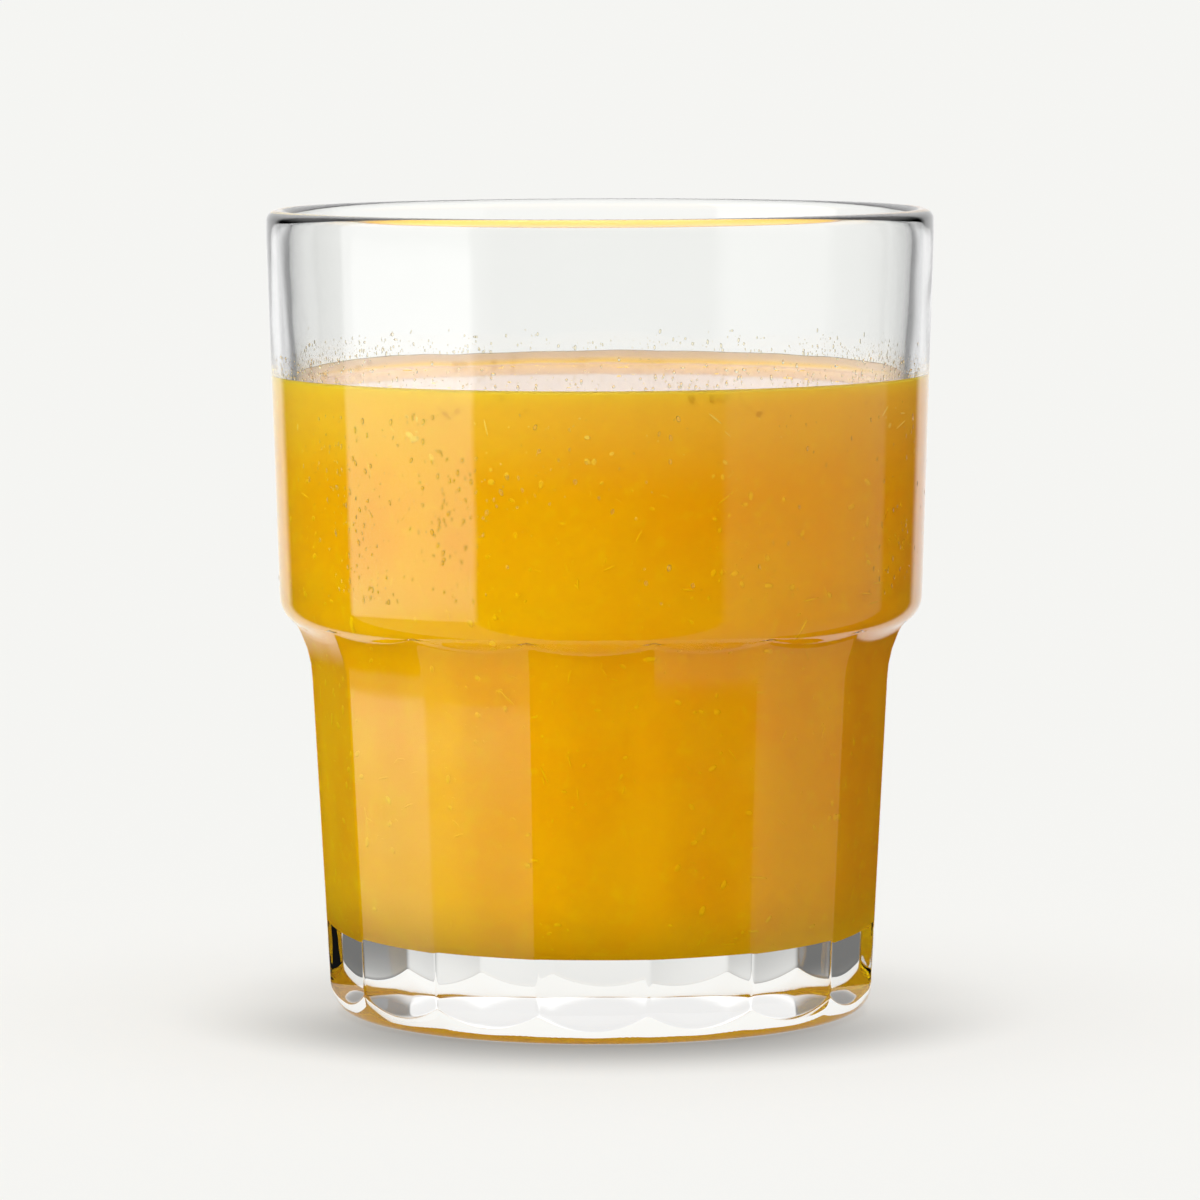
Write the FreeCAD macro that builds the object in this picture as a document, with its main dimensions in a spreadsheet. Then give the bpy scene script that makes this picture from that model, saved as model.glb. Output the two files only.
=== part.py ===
"""A stackable tumbler of pressed glass, filled with orange juice.

Millimetres, +Z up. The origin is the centre of the flat ring that the
tumbler stands on. Both pieces are turned about the Z axis. Flats go round
the lower half of the tumbler, and the middle of the first one faces +X.

tumbler   one piece of clear glass: a round, flaring upper half, a shoulder,
          a flatted lower half and a thick bottom with a round foot
juice     the drink, from the inner floor up to its level; it touches the
          glass all over and climbs a little at the wall
"""
import FreeCAD, Part
import Sketcher
import os

# The driving sizes: alias, value, what it measures. Lengths are in
# millimetres and angles in degrees. A lean is measured from the upright.
SIZES = [
    ("tall", 103.8, "height of the rim above the table"),
    ("rim_radius", 43.0, "outer radius of the rim, the widest place"),
    ("rim_band", 3.3, "height of the upright band at the rim"),
    ("rim_wall", 2.6, "thickness of the glass at the rim"),
    ("lip_round", 1.4, "outer round of the lip"),
    ("wall_lean", 1.75, "lean of the upper wall, outside"),
    ("shoulder_height", 53.9, "height where the round of the shoulder ends"),
    ("shoulder_round", 3.8, "radius of the shoulder"),
    ("under_slope", 38.0, "slope of the shoulder's underside"),
    ("flats", 16, "how many flats go round the lower half"),
    ("flat_foot", 34.75, "distance of a flat from the axis at the table"),
    ("flat_lean", 2.98, "lean of the flats"),
    ("flare_height", 44.0, "height where the flats begin to curve out"),
    ("flare_round", 15.0, "radius of that curve"),
    ("flare_turn", 21.0, "angle that the curve turns through"),
    ("foot_lean", 25.0, "lean of the foot under the flats"),
    ("foot_round", 2.9, "round between the foot and the ring"),
    ("ring_outer", 32.1, "outer radius of the ring it stands on"),
    ("ring_inner", 27.4, "inner radius of that ring"),
    ("hollow_depth", 1.5, "depth of the hollow inside the ring"),
    ("hollow_slope", 1.4, "run of the slope round that hollow"),
    ("base_thick", 10.4, "thickness of the glass under the drink"),
    ("corner_round", 8.5, "radius of the inner corner at the bottom"),
    ("lower_wall", 3.5, "thickness of the glass behind a flat"),
    ("step_height", 52.0, "height of the middle of the inner step"),
    ("step_round", 11.0, "radius of both bends of the inner step"),
    ("level", 81.0, "height of the flat of the drink"),
    ("climb", 1.5, "how far the drink climbs at the wall"),
    ("climb_width", 2.6, "width of the band in which it climbs"),
]

# How far a cut runs past what it cuts.
PAST = "1"

# Outside of the upper half.
BAND_HEIGHT = "(Sizes.tall - Sizes.rim_band)"
CROWN_RADIUS = "(Sizes.rim_radius - Sizes.lip_round)"
SHOULDER_RADIUS = ("(Sizes.rim_radius - (Sizes.tall - Sizes.rim_band"
                   " - Sizes.shoulder_height) * tan(Sizes.wall_lean))")
TURN_RADIUS = (f"({SHOULDER_RADIUS}"
               " - Sizes.shoulder_round * cos(Sizes.wall_lean))")
TURN_HEIGHT = ("(Sizes.shoulder_height"
               " + Sizes.shoulder_round * sin(Sizes.wall_lean))")
UNDER_RADIUS = (f"({TURN_RADIUS}"
                " + Sizes.shoulder_round * sin(Sizes.under_slope))")
UNDER_HEIGHT = (f"({TURN_HEIGHT}"
                " - Sizes.shoulder_round * cos(Sizes.under_slope))")

# Outside of the lower half: one flat, seen from its side, then the round
# blank that the flats are cut from. The blank ends inside the shoulder.
FLARE_RADIUS = "(Sizes.flat_foot + Sizes.flare_height * tan(Sizes.flat_lean))"
FLARE_LEAN = "(Sizes.flat_lean + Sizes.flare_turn)"
FLARE_END_RADIUS = (f"({FLARE_RADIUS} + Sizes.flare_round"
                    f" * (cos(Sizes.flat_lean) - cos{FLARE_LEAN}))")
FLARE_END_HEIGHT = ("(Sizes.flare_height + Sizes.flare_round"
                    f" * (sin{FLARE_LEAN} - sin(Sizes.flat_lean)))")
BLANK_TOP = UNDER_HEIGHT
FLAT_TOP = f"({BLANK_TOP} + {PAST})"
FLAT_TOP_RADIUS = (f"({FLARE_END_RADIUS}"
                   f" + ({FLAT_TOP} - {FLARE_END_HEIGHT}) * tan{FLARE_LEAN})")
BLANK_RADIUS = f"({FLAT_TOP_RADIUS} / cos(180 / Sizes.flats))"
FOOT_RADIUS = ("(Sizes.ring_outer"
               " + Sizes.foot_round * cos(Sizes.foot_lean))")
FOOT_HEIGHT = "(Sizes.foot_round * (1 - sin(Sizes.foot_lean)))"
BLANK_FOOT = (f"({FOOT_HEIGHT}"
              f" + ({BLANK_RADIUS} - {FOOT_RADIUS}) / tan(Sizes.foot_lean))")

# Inside: the walls above and below the step lean as the flats do.
RIM_INNER = "(Sizes.rim_radius - Sizes.rim_wall)"
LIP_INNER = "(Sizes.rim_wall - Sizes.lip_round)"
LIP_HEIGHT = f"(Sizes.tall - {LIP_INNER})"
LOWER_START = "(Sizes.flat_foot - Sizes.lower_wall)"
UPPER_START = f"({RIM_INNER} - {LIP_HEIGHT} * tan(Sizes.flat_lean))"
CORNER_HEIGHT = "(Sizes.base_thick + Sizes.corner_round)"
FLOOR_RADIUS = (f"({LOWER_START} + {CORNER_HEIGHT} * tan(Sizes.flat_lean)"
                " - Sizes.corner_round / cos(Sizes.flat_lean))")
CORNER_END = (f"{FLOOR_RADIUS} + Sizes.corner_round * cos(Sizes.flat_lean)",
              f"{CORNER_HEIGHT} - Sizes.corner_round * sin(Sizes.flat_lean)")
STEP_SHIFT = f"(({UPPER_START} - {LOWER_START}) * cos(Sizes.flat_lean))"
STEP_TURN = f"acos(1 - {STEP_SHIFT} / (2 * Sizes.step_round))"
STEP_HALF = f"(Sizes.step_round * sin({STEP_TURN}))"
STEP_RADIUS = (f"(({UPPER_START} + {LOWER_START}) / 2"
               " + Sizes.step_height * tan(Sizes.flat_lean))")
STEP_ACROSS = (f"({STEP_HALF} * sin(Sizes.flat_lean)"
               f" + {STEP_SHIFT} / 2 * cos(Sizes.flat_lean))")
STEP_UP = (f"({STEP_HALF} * cos(Sizes.flat_lean)"
           f" - {STEP_SHIFT} / 2 * sin(Sizes.flat_lean))")

# The drink.
CLIMB_HEIGHT = "(Sizes.level + Sizes.climb)"
CLIMB_RADIUS = f"({UPPER_START} + {CLIMB_HEIGHT} * tan(Sizes.flat_lean))"
CLIMB_ROUND = ("((Sizes.climb_width ^ 2 + Sizes.climb ^ 2)"
               " / (2 * Sizes.climb))")

# The inner surface up to the top of its step, and the arcs in it.
INNER_CORNERS = [
    ("0", "Sizes.base_thick"),
    (FLOOR_RADIUS, "Sizes.base_thick"),
    CORNER_END,
    (f"{STEP_RADIUS} - {STEP_ACROSS}", f"Sizes.step_height - {STEP_UP}"),
    (STEP_RADIUS, "Sizes.step_height"),
    (f"{STEP_RADIUS} + {STEP_ACROSS}", f"Sizes.step_height + {STEP_UP}"),
]
INNER_BENDS = {
    1: ("Sizes.corner_round", 1),
    3: ("Sizes.step_round", -1),
    4: ("Sizes.step_round", 1),
}


def fill_sheet(doc):
    """Put every driving size in a sheet, one to a row."""
    sheet = doc.addObject("Spreadsheet::Sheet", "Sizes")
    for row, (alias, value, meaning) in enumerate(SIZES, start=1):
        sheet.set(f"A{row}", alias)
        sheet.set(f"B{row}", str(value))
        sheet.set(f"C{row}", meaning)
        sheet.setAlias(f"B{row}", alias)
    doc.recompute()


def origin_feature(body, role):
    """One of a body's own origin planes or axes."""
    for feature in body.Origin.OriginFeatures:
        if feature.Role == role:
            return feature
    raise ValueError(role)


def draw_outline(body, name, corners, bends):
    """A closed outline in the XZ plane, with its corners as expressions.

    A straight line leaves each corner, unless bends gives the radius and
    the side of an arc: 1 if it runs anticlockwise and -1 if clockwise.
    """
    sketch = body.newObject("Sketcher::SketchObject", name)
    sketch.AttachmentSupport = [(origin_feature(body, "XZ_Plane"), "")]
    sketch.MapMode = "FlatFace"
    places = [FreeCAD.Vector(sketch.evalExpression(across),
                             sketch.evalExpression(up), 0)
              for across, up in corners]
    edges = []
    for number, here in enumerate(places):
        there = places[(number + 1) % len(places)]
        if number in bends:
            edges.append(add_arc(sketch, here, there, *bends[number]))
        else:
            edges.append(add_line(sketch, here, there))
    join_ends(sketch, edges)
    for edge, (across, up) in zip(edges, corners):
        pin_corner(sketch, edge, across, up)
    return sketch


def add_line(sketch, here, there):
    """A straight line. Returns its number, its first end and its last."""
    return sketch.addGeometry(Part.LineSegment(here, there), False), 1, 2


def add_arc(sketch, here, there, radius, side):
    """An arc of a given radius. Returns the same as add_line.

    A sketch's arcs all run anticlockwise, so a clockwise one is drawn
    from its last end to its first.
    """
    size = float(sketch.evalExpression(radius))
    chord = there - here
    depth = (size ** 2 - (chord.Length / 2) ** 2) ** 0.5
    inward = FreeCAD.Vector(-chord.y, chord.x, 0).normalize() * side
    centre = (here + there) / 2 + inward * depth
    circle = Part.Circle(centre, FreeCAD.Vector(0, 0, 1), size)
    first, last = (here, there) if side > 0 else (there, here)
    arc = Part.ArcOfCircle(circle, circle.parameter(first),
                           circle.parameter(last))
    number = sketch.addGeometry(arc, False)
    bind(sketch, "Radius", (number,), radius)
    return (number, 1, 2) if side > 0 else (number, 2, 1)


def join_ends(sketch, edges):
    """Join the last end of each edge to the first end of the next."""
    for place, (number, _, last) in enumerate(edges):
        follower, first, _ = edges[(place + 1) % len(edges)]
        sketch.addConstraint(Sketcher.Constraint(
            "Coincident", number, last, follower, first))


def pin_corner(sketch, edge, across, up):
    """Hold the first end of an edge at its distances from the origin."""
    number, first, _ = edge
    for kind, axis, distance in (("DistanceX", -2, across),
                                 ("DistanceY", -1, up)):
        if distance == "0":
            sketch.addConstraint(Sketcher.Constraint(
                "PointOnObject", number, first, axis))
        else:
            bind(sketch, kind, (-1, 1, number, first), distance)


def bind(sketch, kind, what, expression):
    """Add a constraint whose value follows the sheet."""
    value = float(sketch.evalExpression(expression))
    rule = sketch.addConstraint(Sketcher.Constraint(kind, *what, value))
    sketch.setExpression(f"Constraints[{rule}]", expression)


def turn(body, kind, name, sketch):
    """Turn an outline about the axis: a Revolution adds, a Groove cuts."""
    feature = body.newObject(f"PartDesign::{kind}", name)
    feature.Profile = sketch
    feature.ReferenceAxis = (sketch, ["V_Axis"])
    feature.Angle = 360
    return feature


def add_blank(body):
    """The lower half before it is flatted, with its foot and its ring."""
    corners = [
        ("0", "Sizes.hollow_depth"),
        ("Sizes.ring_inner - Sizes.hollow_slope", "Sizes.hollow_depth"),
        ("Sizes.ring_inner", "0"),
        ("Sizes.ring_outer", "0"),
        (FOOT_RADIUS, FOOT_HEIGHT),
        (BLANK_RADIUS, BLANK_FOOT),
        (BLANK_RADIUS, BLANK_TOP),
        ("0", BLANK_TOP),
    ]
    outline = draw_outline(body, "BlankOutline", corners,
                           {3: ("Sizes.foot_round", 1)})
    return turn(body, "Revolution", "Blank", outline)


def cut_flats(body):
    """Cut one flat, with its flare, and repeat it round the axis."""
    corners = [
        ("Sizes.flat_foot", "0"),
        (f"{BLANK_RADIUS} + {PAST}", "0"),
        (f"{BLANK_RADIUS} + {PAST}", FLAT_TOP),
        (FLAT_TOP_RADIUS, FLAT_TOP),
        (FLARE_END_RADIUS, FLARE_END_HEIGHT),
        (FLARE_RADIUS, "Sizes.flare_height"),
    ]
    outline = draw_outline(body, "FlatOutline", corners,
                           {4: ("Sizes.flare_round", 1)})
    flat = body.newObject("PartDesign::Pocket", "Flat")
    flat.Profile = outline
    flat.SideType = "Symmetric"
    flat.setExpression("Length",
                       f"2 * {BLANK_RADIUS} * tan(180 / Sizes.flats)")
    flats = body.newObject("PartDesign::PolarPattern", "Flats")
    flats.Originals = [flat]
    flats.Axis = (origin_feature(body, "Z_Axis"), [""])
    flats.Angle = 360
    flats.setExpression("Occurrences", "Sizes.flats")
    body.Tip = flats
    return flats


def add_upper_half(body):
    """The round upper half, still solid, with its shoulder and its rim."""
    reach = "(Sizes.shoulder_round)"
    corners = [
        ("0", f"{UNDER_HEIGHT} - {reach} * tan(Sizes.under_slope)"),
        (f"{UNDER_RADIUS} - {reach}",
         f"{UNDER_HEIGHT} - {reach} * tan(Sizes.under_slope)"),
        (UNDER_RADIUS, UNDER_HEIGHT),
        (SHOULDER_RADIUS, "Sizes.shoulder_height"),
        ("Sizes.rim_radius", BAND_HEIGHT),
        ("Sizes.rim_radius", "Sizes.tall - Sizes.lip_round"),
        (CROWN_RADIUS, "Sizes.tall"),
        ("0", "Sizes.tall"),
    ]
    outline = draw_outline(body, "UpperOutline", corners,
                           {2: ("Sizes.shoulder_round", 1),
                            5: ("Sizes.lip_round", 1)})
    return turn(body, "Revolution", "UpperHalf", outline)


def hollow_out(body):
    """Cut the inside: floor, corner, step, upper wall and inner lip."""
    lip = len(INNER_CORNERS)
    corners = INNER_CORNERS + [
        (RIM_INNER, LIP_HEIGHT),
        (CROWN_RADIUS, "Sizes.tall"),
        (CROWN_RADIUS, f"Sizes.tall + {PAST}"),
        ("0", f"Sizes.tall + {PAST}"),
    ]
    outline = draw_outline(body, "InnerOutline", corners,
                           {**INNER_BENDS, lip: (LIP_INNER, -1)})
    return turn(body, "Groove", "Inside", outline)


def make_tumbler(doc):
    """The glass, in one piece."""
    body = doc.addObject("PartDesign::Body", "tumbler")
    body.Label = "tumbler"
    before = 0
    for step in (add_blank, cut_flats, add_upper_half, hollow_out):
        step(body)
        doc.recompute()
        if body.Shape.Volume == before:
            raise RuntimeError(f"{step.__name__} changed nothing")
        before = body.Shape.Volume
    return body


def make_juice(doc):
    """The drink: the inner surface again, up to where it meets the wall."""
    body = doc.addObject("PartDesign::Body", "juice")
    body.Label = "juice"
    climb = len(INNER_CORNERS)
    corners = INNER_CORNERS + [
        (CLIMB_RADIUS, CLIMB_HEIGHT),
        (f"{CLIMB_RADIUS} - Sizes.climb_width", "Sizes.level"),
        ("0", "Sizes.level"),
    ]
    outline = draw_outline(body, "DrinkOutline", corners,
                           {**INNER_BENDS, climb: (CLIMB_ROUND, -1)})
    turn(body, "Revolution", "Drink", outline)
    doc.recompute()
    return body


def check(doc, bodies):
    """Stop if any object failed or any piece isn't one sound solid."""
    for item in doc.Objects:
        if "Invalid" in item.State or "Error" in item.State:
            raise RuntimeError(f"{item.Name} failed: {item.State}")
    for body in bodies:
        shape = body.Shape
        if shape.isNull() or not shape.isValid() or len(shape.Solids) != 1:
            raise RuntimeError(f"{body.Label} isn't one sound solid")


def main():
    doc = FreeCAD.newDocument("glass_of_orange_juice")
    fill_sheet(doc)
    bodies = [make_tumbler(doc), make_juice(doc)]
    for body in bodies:
        body.Placement = FreeCAD.Placement()
    doc.recompute()
    check(doc, bodies)
    os.makedirs("parts", exist_ok=True)
    for body in bodies:
        body.Shape.exportStep(f"parts/{body.Label}.step")
        box = body.Shape.BoundBox
        print(f"{body.Label}: {body.Shape.Volume / 1000:.1f} ml,"
              f" {box.XLength:.2f} x {box.YLength:.2f} x {box.ZLength:.2f}")


main()
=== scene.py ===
# %% [markdown]
# # A glass of orange juice
#
# A stackable tumbler of pressed glass, filled most of the way with orange juice.
# The glass is round above its shoulder and has sixteen flats below it. The two main
# pieces, the tumbler and the drink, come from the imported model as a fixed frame.
# This lesson gives each of them a smooth skin, and then adds what makes a drink
# look poured: pulp, bubbles at the wall, a wet band above the level, and a little
# condensation on the outside.

# %% Load the frame
from math import atan, cos, degrees, pi, radians, sin, sqrt, tan

import bmesh
import bpy
from mathutils import Matrix, Vector, noise


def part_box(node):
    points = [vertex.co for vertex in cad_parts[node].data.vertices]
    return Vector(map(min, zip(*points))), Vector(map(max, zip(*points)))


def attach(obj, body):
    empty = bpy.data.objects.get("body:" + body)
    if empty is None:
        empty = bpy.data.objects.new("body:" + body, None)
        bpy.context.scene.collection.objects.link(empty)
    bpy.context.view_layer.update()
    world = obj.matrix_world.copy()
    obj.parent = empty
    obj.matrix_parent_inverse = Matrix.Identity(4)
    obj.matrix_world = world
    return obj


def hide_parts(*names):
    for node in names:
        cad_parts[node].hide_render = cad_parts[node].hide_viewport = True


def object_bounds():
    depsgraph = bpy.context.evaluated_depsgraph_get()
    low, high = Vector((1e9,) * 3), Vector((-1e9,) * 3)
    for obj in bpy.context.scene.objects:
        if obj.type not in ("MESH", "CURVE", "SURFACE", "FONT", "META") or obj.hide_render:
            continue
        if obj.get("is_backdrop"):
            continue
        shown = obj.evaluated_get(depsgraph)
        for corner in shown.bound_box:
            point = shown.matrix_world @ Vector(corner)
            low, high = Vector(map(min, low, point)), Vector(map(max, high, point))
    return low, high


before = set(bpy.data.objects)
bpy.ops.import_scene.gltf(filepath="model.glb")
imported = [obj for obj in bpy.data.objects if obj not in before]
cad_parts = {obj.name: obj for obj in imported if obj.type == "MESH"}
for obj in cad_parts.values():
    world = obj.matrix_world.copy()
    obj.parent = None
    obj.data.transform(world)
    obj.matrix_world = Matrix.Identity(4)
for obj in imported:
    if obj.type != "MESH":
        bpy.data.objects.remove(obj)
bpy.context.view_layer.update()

scene = bpy.context.scene
print("frame nodes:", sorted(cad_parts))

# %% [markdown]
# ## Sizes
#
# A glass maker's drawing gives one half of the section. These are the same sizes, in
# millimetres, that the tumbler's solid was built from, so the smooth skins fall on
# the solids. The height and the rim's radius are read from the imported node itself.

# %% The sizes of the section
MM = 0.001
tumbler_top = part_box("tumbler")[1]
TALL = tumbler_top.z / MM
RIM_RADIUS = tumbler_top.y / MM
FLATS = 16
FLAT_LEAN_DEGREES = 2.98
FLAT_LEAN = tan(radians(FLAT_LEAN_DEGREES))
FLAT_AT_TABLE = 34.75
WALL_LEAN_DEGREES = 1.75
WALL_LEAN = radians(WALL_LEAN_DEGREES)
INNER_WALL_AT_TABLE = 35.059
INNER_WALL_TOP = 102.6
INNER_FLOOR = 10.4
RIM_BAND_FOOT = 100.5
LEVEL = 81.0
CONTACT = 82.5
print(f"tumbler {2 * RIM_RADIUS:.1f} mm wide and {TALL:.1f} mm tall")

# %% [markdown]
# ## Camera
#
# The glass is seen from a little above its rim with a long lens, as in a catalogue.
# A long lens from far off keeps the sides nearly parallel. The camera's own axes
# are set directly, because the view leans by a fraction of a degree.

# %% Place the camera
VIEW_AZIMUTH = radians(1.95)
VIEW_PITCH = radians(5.12)
VIEW_ROLL = radians(0.17)
VIEW_DISTANCE = 0.8903
VIEW_HEIGHT = 0.1329
VIEW_SHIFT = 0.00014
LENS = 207.0

camera_data = bpy.data.cameras.new("camera")
camera_data.lens = LENS
camera_data.sensor_width = 36.0
camera_data.clip_start = 0.01
camera_data.clip_end = 400.0
camera = bpy.data.objects.new("camera", camera_data)
scene.collection.objects.link(camera)
ahead = Vector((-sin(VIEW_AZIMUTH) * cos(VIEW_PITCH), cos(VIEW_AZIMUTH) * cos(VIEW_PITCH),
                -sin(VIEW_PITCH)))
side = ahead.cross(Vector((0, 0, 1))).normalized()
above = side.cross(ahead)
right = side * cos(VIEW_ROLL) - above * sin(VIEW_ROLL)
up = side * sin(VIEW_ROLL) + above * cos(VIEW_ROLL)
turn = Matrix((right, up, -ahead)).transposed()
place = Vector((VIEW_DISTANCE * sin(VIEW_AZIMUTH), -VIEW_DISTANCE * cos(VIEW_AZIMUTH), VIEW_HEIGHT))
place = place - right * VIEW_SHIFT
camera.matrix_world = Matrix.Translation(place) @ turn.to_4x4()
scene.camera = camera
print("camera at", [round(c, 4) for c in place])

# %% [markdown]
# ## Node helpers
#
# Materials, the studio and the scattered details are all built from nodes. Four
# small helpers keep those cells short. One makes a node and wires its inputs, one
# does arithmetic, one rises softly between two values, and one makes a soft band.

# %% Helpers for nodes
def add_node(tree, kind, settings=None, **inputs):
    """Makes a node, sets its options, and fills or links its named inputs."""
    node = tree.nodes.new(kind)
    for key, value in (settings or {}).items():
        setattr(node, key, value)
    for key, value in inputs.items():
        socket = node.inputs[key.replace("_", " ")]
        if isinstance(value, bpy.types.NodeSocket):
            tree.links.new(value, socket)
        else:
            socket.default_value = value
    return node


def sums(tree, operation, *values):
    """One Math node. Each value is a number or another node's output."""
    node = tree.nodes.new("ShaderNodeMath")
    node.operation = operation
    for socket, value in zip(node.inputs, values):
        if isinstance(value, bpy.types.NodeSocket):
            tree.links.new(value, socket)
        else:
            socket.default_value = value
    return node.outputs[0]


def soft_step(tree, value, start, end, low=0.0, high=1.0):
    """Rises smoothly from low to high while the value goes from start to end."""
    node = tree.nodes.new("ShaderNodeMapRange")
    node.interpolation_type = "SMOOTHSTEP"
    tree.links.new(value, node.inputs["Value"])
    for key, number in (("From Min", start), ("From Max", end), ("To Min", low), ("To Max", high)):
        node.inputs[key].default_value = number
    return node.outputs["Result"]


def soft_band(tree, value, start, end, soft):
    """One between start and end, zero outside, with soft edges."""
    rise = soft_step(tree, value, start - soft / 2, start + soft / 2)
    fall = soft_step(tree, value, end - soft / 2, end + soft / 2, 1.0, 0.0)
    return sums(tree, "MULTIPLY", rise, fall)


# %% [markdown]
# ## Studio
#
# Clear glass shows only what stands round it, so the studio matters as much as the
# glass. A white backdrop stands behind, a tall soft light on the left, a dim card on
# the right and a broad soft light overhead. All of it is painted on the sky by
# direction, so that nothing can stand in the way of another view. What is seen
# straight through the glass, or past it, is the same pale backdrop on every side.
# Bearings run clockwise from straight behind, tilts run up from level, both in
# degrees, and the last number of a band is how soft its edges are.

# %% The studio's light, by direction
world = bpy.data.worlds.new("studio")
scene.world = world
world.use_nodes = True
sky = world.node_tree
sky.nodes.clear()

look = add_node(sky, "ShaderNodeTexCoord")
parts = add_node(sky, "ShaderNodeSeparateXYZ", Vector=look.outputs["Generated"])
east, north, high = parts.outputs[0], parts.outputs[1], parts.outputs[2]
bearing = sums(sky, "MULTIPLY", sums(sky, "ARCTAN2", east, north), 180 / pi)
bearing = sums(sky, "ADD", bearing, degrees(VIEW_AZIMUTH))
tilt = sums(sky, "MULTIPLY", sums(sky, "ARCSINE", high), 180 / pi)

behind = soft_band(sky, bearing, -32, 32, 8)
left_box = soft_band(sky, bearing, -135, -80, 3)
left_tall = soft_step(sky, tilt, -14, -7, 0.18, 1.0)
left_top = soft_step(sky, tilt, 40, 55, 1.0, 0.0)
right_card = soft_band(sky, bearing, 61, 136, 4)
overhead = soft_step(sky, tilt, 35, 55)


def glow(*terms):
    """The sum of strength times mask over the lights given."""
    total = 0.0
    for strength, mask in terms:
        total = sums(sky, "MULTIPLY_ADD", mask, strength, total)
    return total


left_lamp = sums(sky, "MULTIPLY", sums(sky, "MULTIPLY", left_box, left_tall), left_top)
left_light = sums(sky, "MULTIPLY", left_lamp, soft_step(sky, tilt, -8.5, -4, 1.0, 0.5))
sky_half = soft_step(sky, tilt, -1, 3)
ground = soft_step(sky, tilt, -3, 1, 1.0, 0.0)
front = sums(sky, "SUBTRACT", 1.0, soft_band(sky, bearing, -140, 140, 10))
front = sums(sky, "MULTIPLY", front, soft_band(sky, tilt, -2, 26, 8))
from_above = soft_step(sky, tilt, 50, 75)

BACKDROP = (0.905, 0.905, 0.880)
high_up = soft_step(sky, tilt, 6, 30)
mirrored = glow((1.0, behind), (2.8, left_light), (0.36, right_card), (0.9, high_up), (0.03, ground))
mirrored_inside = glow((0.66, behind), (0.9, left_light), (0.3, right_card), (0.7, high_up),
                       (0.25, sky_half), (0.3, ground))
red_light = glow((0.6, behind), (3.3, left_lamp), (0.50, right_card), (0.6, overhead),
                 (0.35, sky_half), (0.85, ground), (2.75, front))
green_light = glow((0.6, behind), (4.6, left_lamp), (0.28, right_card), (0.6, overhead),
                   (0.36, sky_half), (0.85, ground), (2.75, front))
top_light = glow((5.0, from_above), (0.12, sky_half))

# %% [markdown]
# One sky serves five kinds of ray. Rays that light the paper use only the light from
# above, so its shadow stays close to the glass. Rays that light the juice through the
# glass use every lamp. Rays that bounce off the glass see the lamps as shapes, and
# rays that bounced inside it see them dimmer. Rays that pass straight by or through
# see the backdrop.

# %% Which ray sees what
path = add_node(sky, "ShaderNodeLightPath")
struck = sums(sky, "GREATER_THAN", path.outputs["Diffuse Depth"], 0.5)
clean = sums(sky, "SUBTRACT", 1.0, struck)
turned = sums(sky, "GREATER_THAN", path.outputs["Glossy Depth"], 0.5)
passing = sums(sky, "MAXIMUM", path.outputs["Is Camera Ray"], path.outputs["Is Transmission Ray"])
straight = sums(sky, "MULTIPLY", sums(sky, "MULTIPLY", passing, clean), sums(sky, "SUBTRACT", 1.0, turned))
reflected = sums(sky, "MULTIPLY", turned, clean)
reflected = sums(sky, "MULTIPLY", reflected, sums(sky, "MAXIMUM", passing, path.outputs["Is Glossy Ray"]))
in_glass = sums(sky, "MULTIPLY", struck, path.outputs["Is Transmission Ray"])
BRIGHTER_THROUGH_GLASS = 0.12
brighter = sums(sky, "MULTIPLY_ADD", path.outputs["Is Transmission Ray"], BRIGHTER_THROUGH_GLASS, 1.0)

tint = add_node(sky, "ShaderNodeCombineColor", Red=red_light, Green=green_light, Blue=red_light)
pale = add_node(sky, "ShaderNodeBackground", Color=(*BACKDROP, 1), Strength=brighter)
lamps = add_node(sky, "ShaderNodeBackground", Color=(1, 1, 1, 1), Strength=top_light)
through = add_node(sky, "ShaderNodeBackground", Color=tint.outputs[0], Strength=1.0)
mirror = add_node(sky, "ShaderNodeBackground", Color=(1, 1, 1, 1), Strength=mirrored)
mirror_inside = add_node(sky, "ShaderNodeBackground", Color=(1, 1, 1, 1), Strength=mirrored_inside)
shown = lamps.outputs[0]
inner = sums(sky, "MULTIPLY", reflected, path.outputs["Is Transmission Ray"])
for chosen, light in ((in_glass, through), (reflected, mirror), (inner, mirror_inside), (straight, pale)):
    step = add_node(sky, "ShaderNodeMixShader", Fac=chosen)
    sky.links.new(shown, step.inputs[1])
    sky.links.new(light.outputs[0], step.inputs[2])
    shown = step.outputs[0]
sky_out = add_node(sky, "ShaderNodeOutputWorld")
sky.links.new(shown, sky_out.inputs["Surface"])
scene.view_settings.view_transform = "Standard"
print("studio:", len(sky.nodes), "nodes")

# %% [markdown]
# ## Floor
#
# The glass stands on a plain sheet of pale paper. It is in three pieces, a near disc
# and two rings round it, because only the near paper shows in the glass's polish,
# and what is seen through the glass beyond it is the pale backdrop. The paper glows
# a little, so that its shadow stays soft. A ring of shade is painted where the foot
# meets it, and a darker stretch on both sides shows only through the glass, where
# dark cards would show.

# %% Lay the floor
def ring_mesh(name, inner, outer, height, count=96):
    """A flat disc, or a flat ring if inner isn't zero."""
    mesh = bpy.data.meshes.new(name)
    points, faces = [], []
    for k in range(count):
        a = 2 * pi * k / count
        points.append((outer * cos(a), outer * sin(a), height))
        if inner:
            points.append((inner * cos(a), inner * sin(a), height))
    if inner:
        for k in range(count):
            m = (k + 1) % count
            faces.append((2 * k, 2 * m, 2 * m + 1, 2 * k + 1))
    else:
        faces.append(tuple(range(count)))
    mesh.from_pydata(points, [], faces)
    floor_piece = bpy.data.objects.new(name, mesh)
    scene.collection.objects.link(floor_piece)
    return floor_piece


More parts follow.
